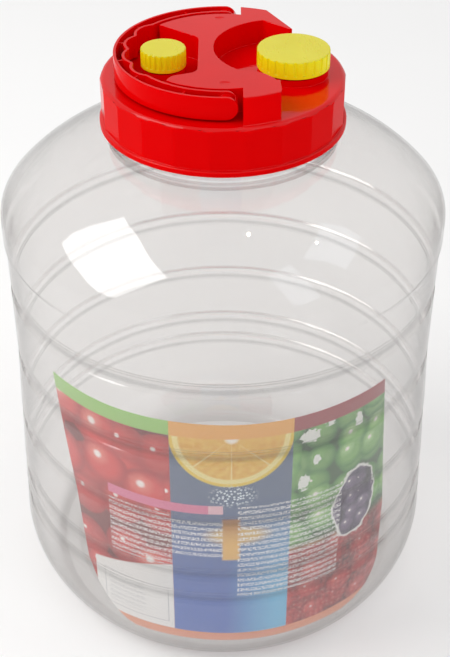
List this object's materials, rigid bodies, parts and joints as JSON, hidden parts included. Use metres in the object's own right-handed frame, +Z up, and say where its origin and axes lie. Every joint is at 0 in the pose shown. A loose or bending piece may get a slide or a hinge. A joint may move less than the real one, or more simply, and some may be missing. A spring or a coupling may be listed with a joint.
{
  "type": "fermenting jar",
  "caption": "Clear ribbed jar for fermenting fruit wine, with a printed insert, a red screw lid carrying a folding handle, and yellow pouring and vent caps.",
  "frame": {"origin": "centre of the surface that the jar stands on", "axes": "+Z up along the jar; -Y towards the front of the printed insert; the handle folds down on the -X side"},
  "size_m": [0.2798, 0.2796, 0.3794],
  "materials": {
    "clear_body": "clear, glossy, blow-moulded",
    "printed_sheet": "printed film, satin",
    "red_plastic": "glossy red moulding",
    "yellow_plastic": "satin yellow moulding",
    "seal": "soft white sealing material"
  },
  "bodies": {
    "jar": {"jar": "clear_body", "label_insert": "printed_sheet"},
    "gasket": {"lid_gasket": "seal"},
    "lid": {"lid": "red_plastic"},
    "handle": {"carry_handle": "red_plastic"},
    "pour_liner": {"pour_cap_liner": "seal"},
    "pour_cap": {"pour_cap": "yellow_plastic"},
    "vent_liner": {"vent_cap_liner": "seal"},
    "vent_cap": {"vent_cap": "yellow_plastic"}
  },
  "joints": [
    {"name": "lid_lift", "type": "slide", "parent": "jar", "child": "gasket", "axis": [0, 0, 1], "range_m": [0, 0.0076]},
    {"name": "lid_turn", "type": "hinge", "parent": "gasket", "child": "lid", "pos_m": [0, 0, 0.35], "axis": [0, 0, 1], "range_deg": [0, 450]},
    {"name": "handle_fold", "type": "hinge", "parent": "lid", "child": "handle", "pos_m": [0.0015, 0, 0.3719], "axis": [0, 1, 0], "range_deg": [0, 105]},
    {"name": "pour_lift", "type": "slide", "parent": "lid", "child": "pour_liner", "axis": [0, 0, 1], "range_m": [0, 0.0031]},
    {"name": "pour_turn", "type": "hinge", "parent": "pour_liner", "child": "pour_cap", "pos_m": [0.0405, 0, 0.374], "axis": [0, 0, 1], "range_deg": [0, 450]},
    {"name": "vent_lift", "type": "slide", "parent": "lid", "child": "vent_liner", "axis": [0, 0, 1], "range_m": [0, 0.0028]},
    {"name": "vent_turn", "type": "hinge", "parent": "vent_liner", "child": "vent_cap", "pos_m": [-0.0343, 0, 0.374], "axis": [0, 0, 1], "range_deg": [0, 450]}
  ],
  "couplings": [
    {"joint": "lid_lift", "follows": "lid_turn", "m_per_rad": 0.00095493},
    {"joint": "pour_lift", "follows": "pour_turn", "m_per_rad": 0.00038197},
    {"joint": "vent_lift", "follows": "vent_turn", "m_per_rad": 0.00035014}
  ]
}
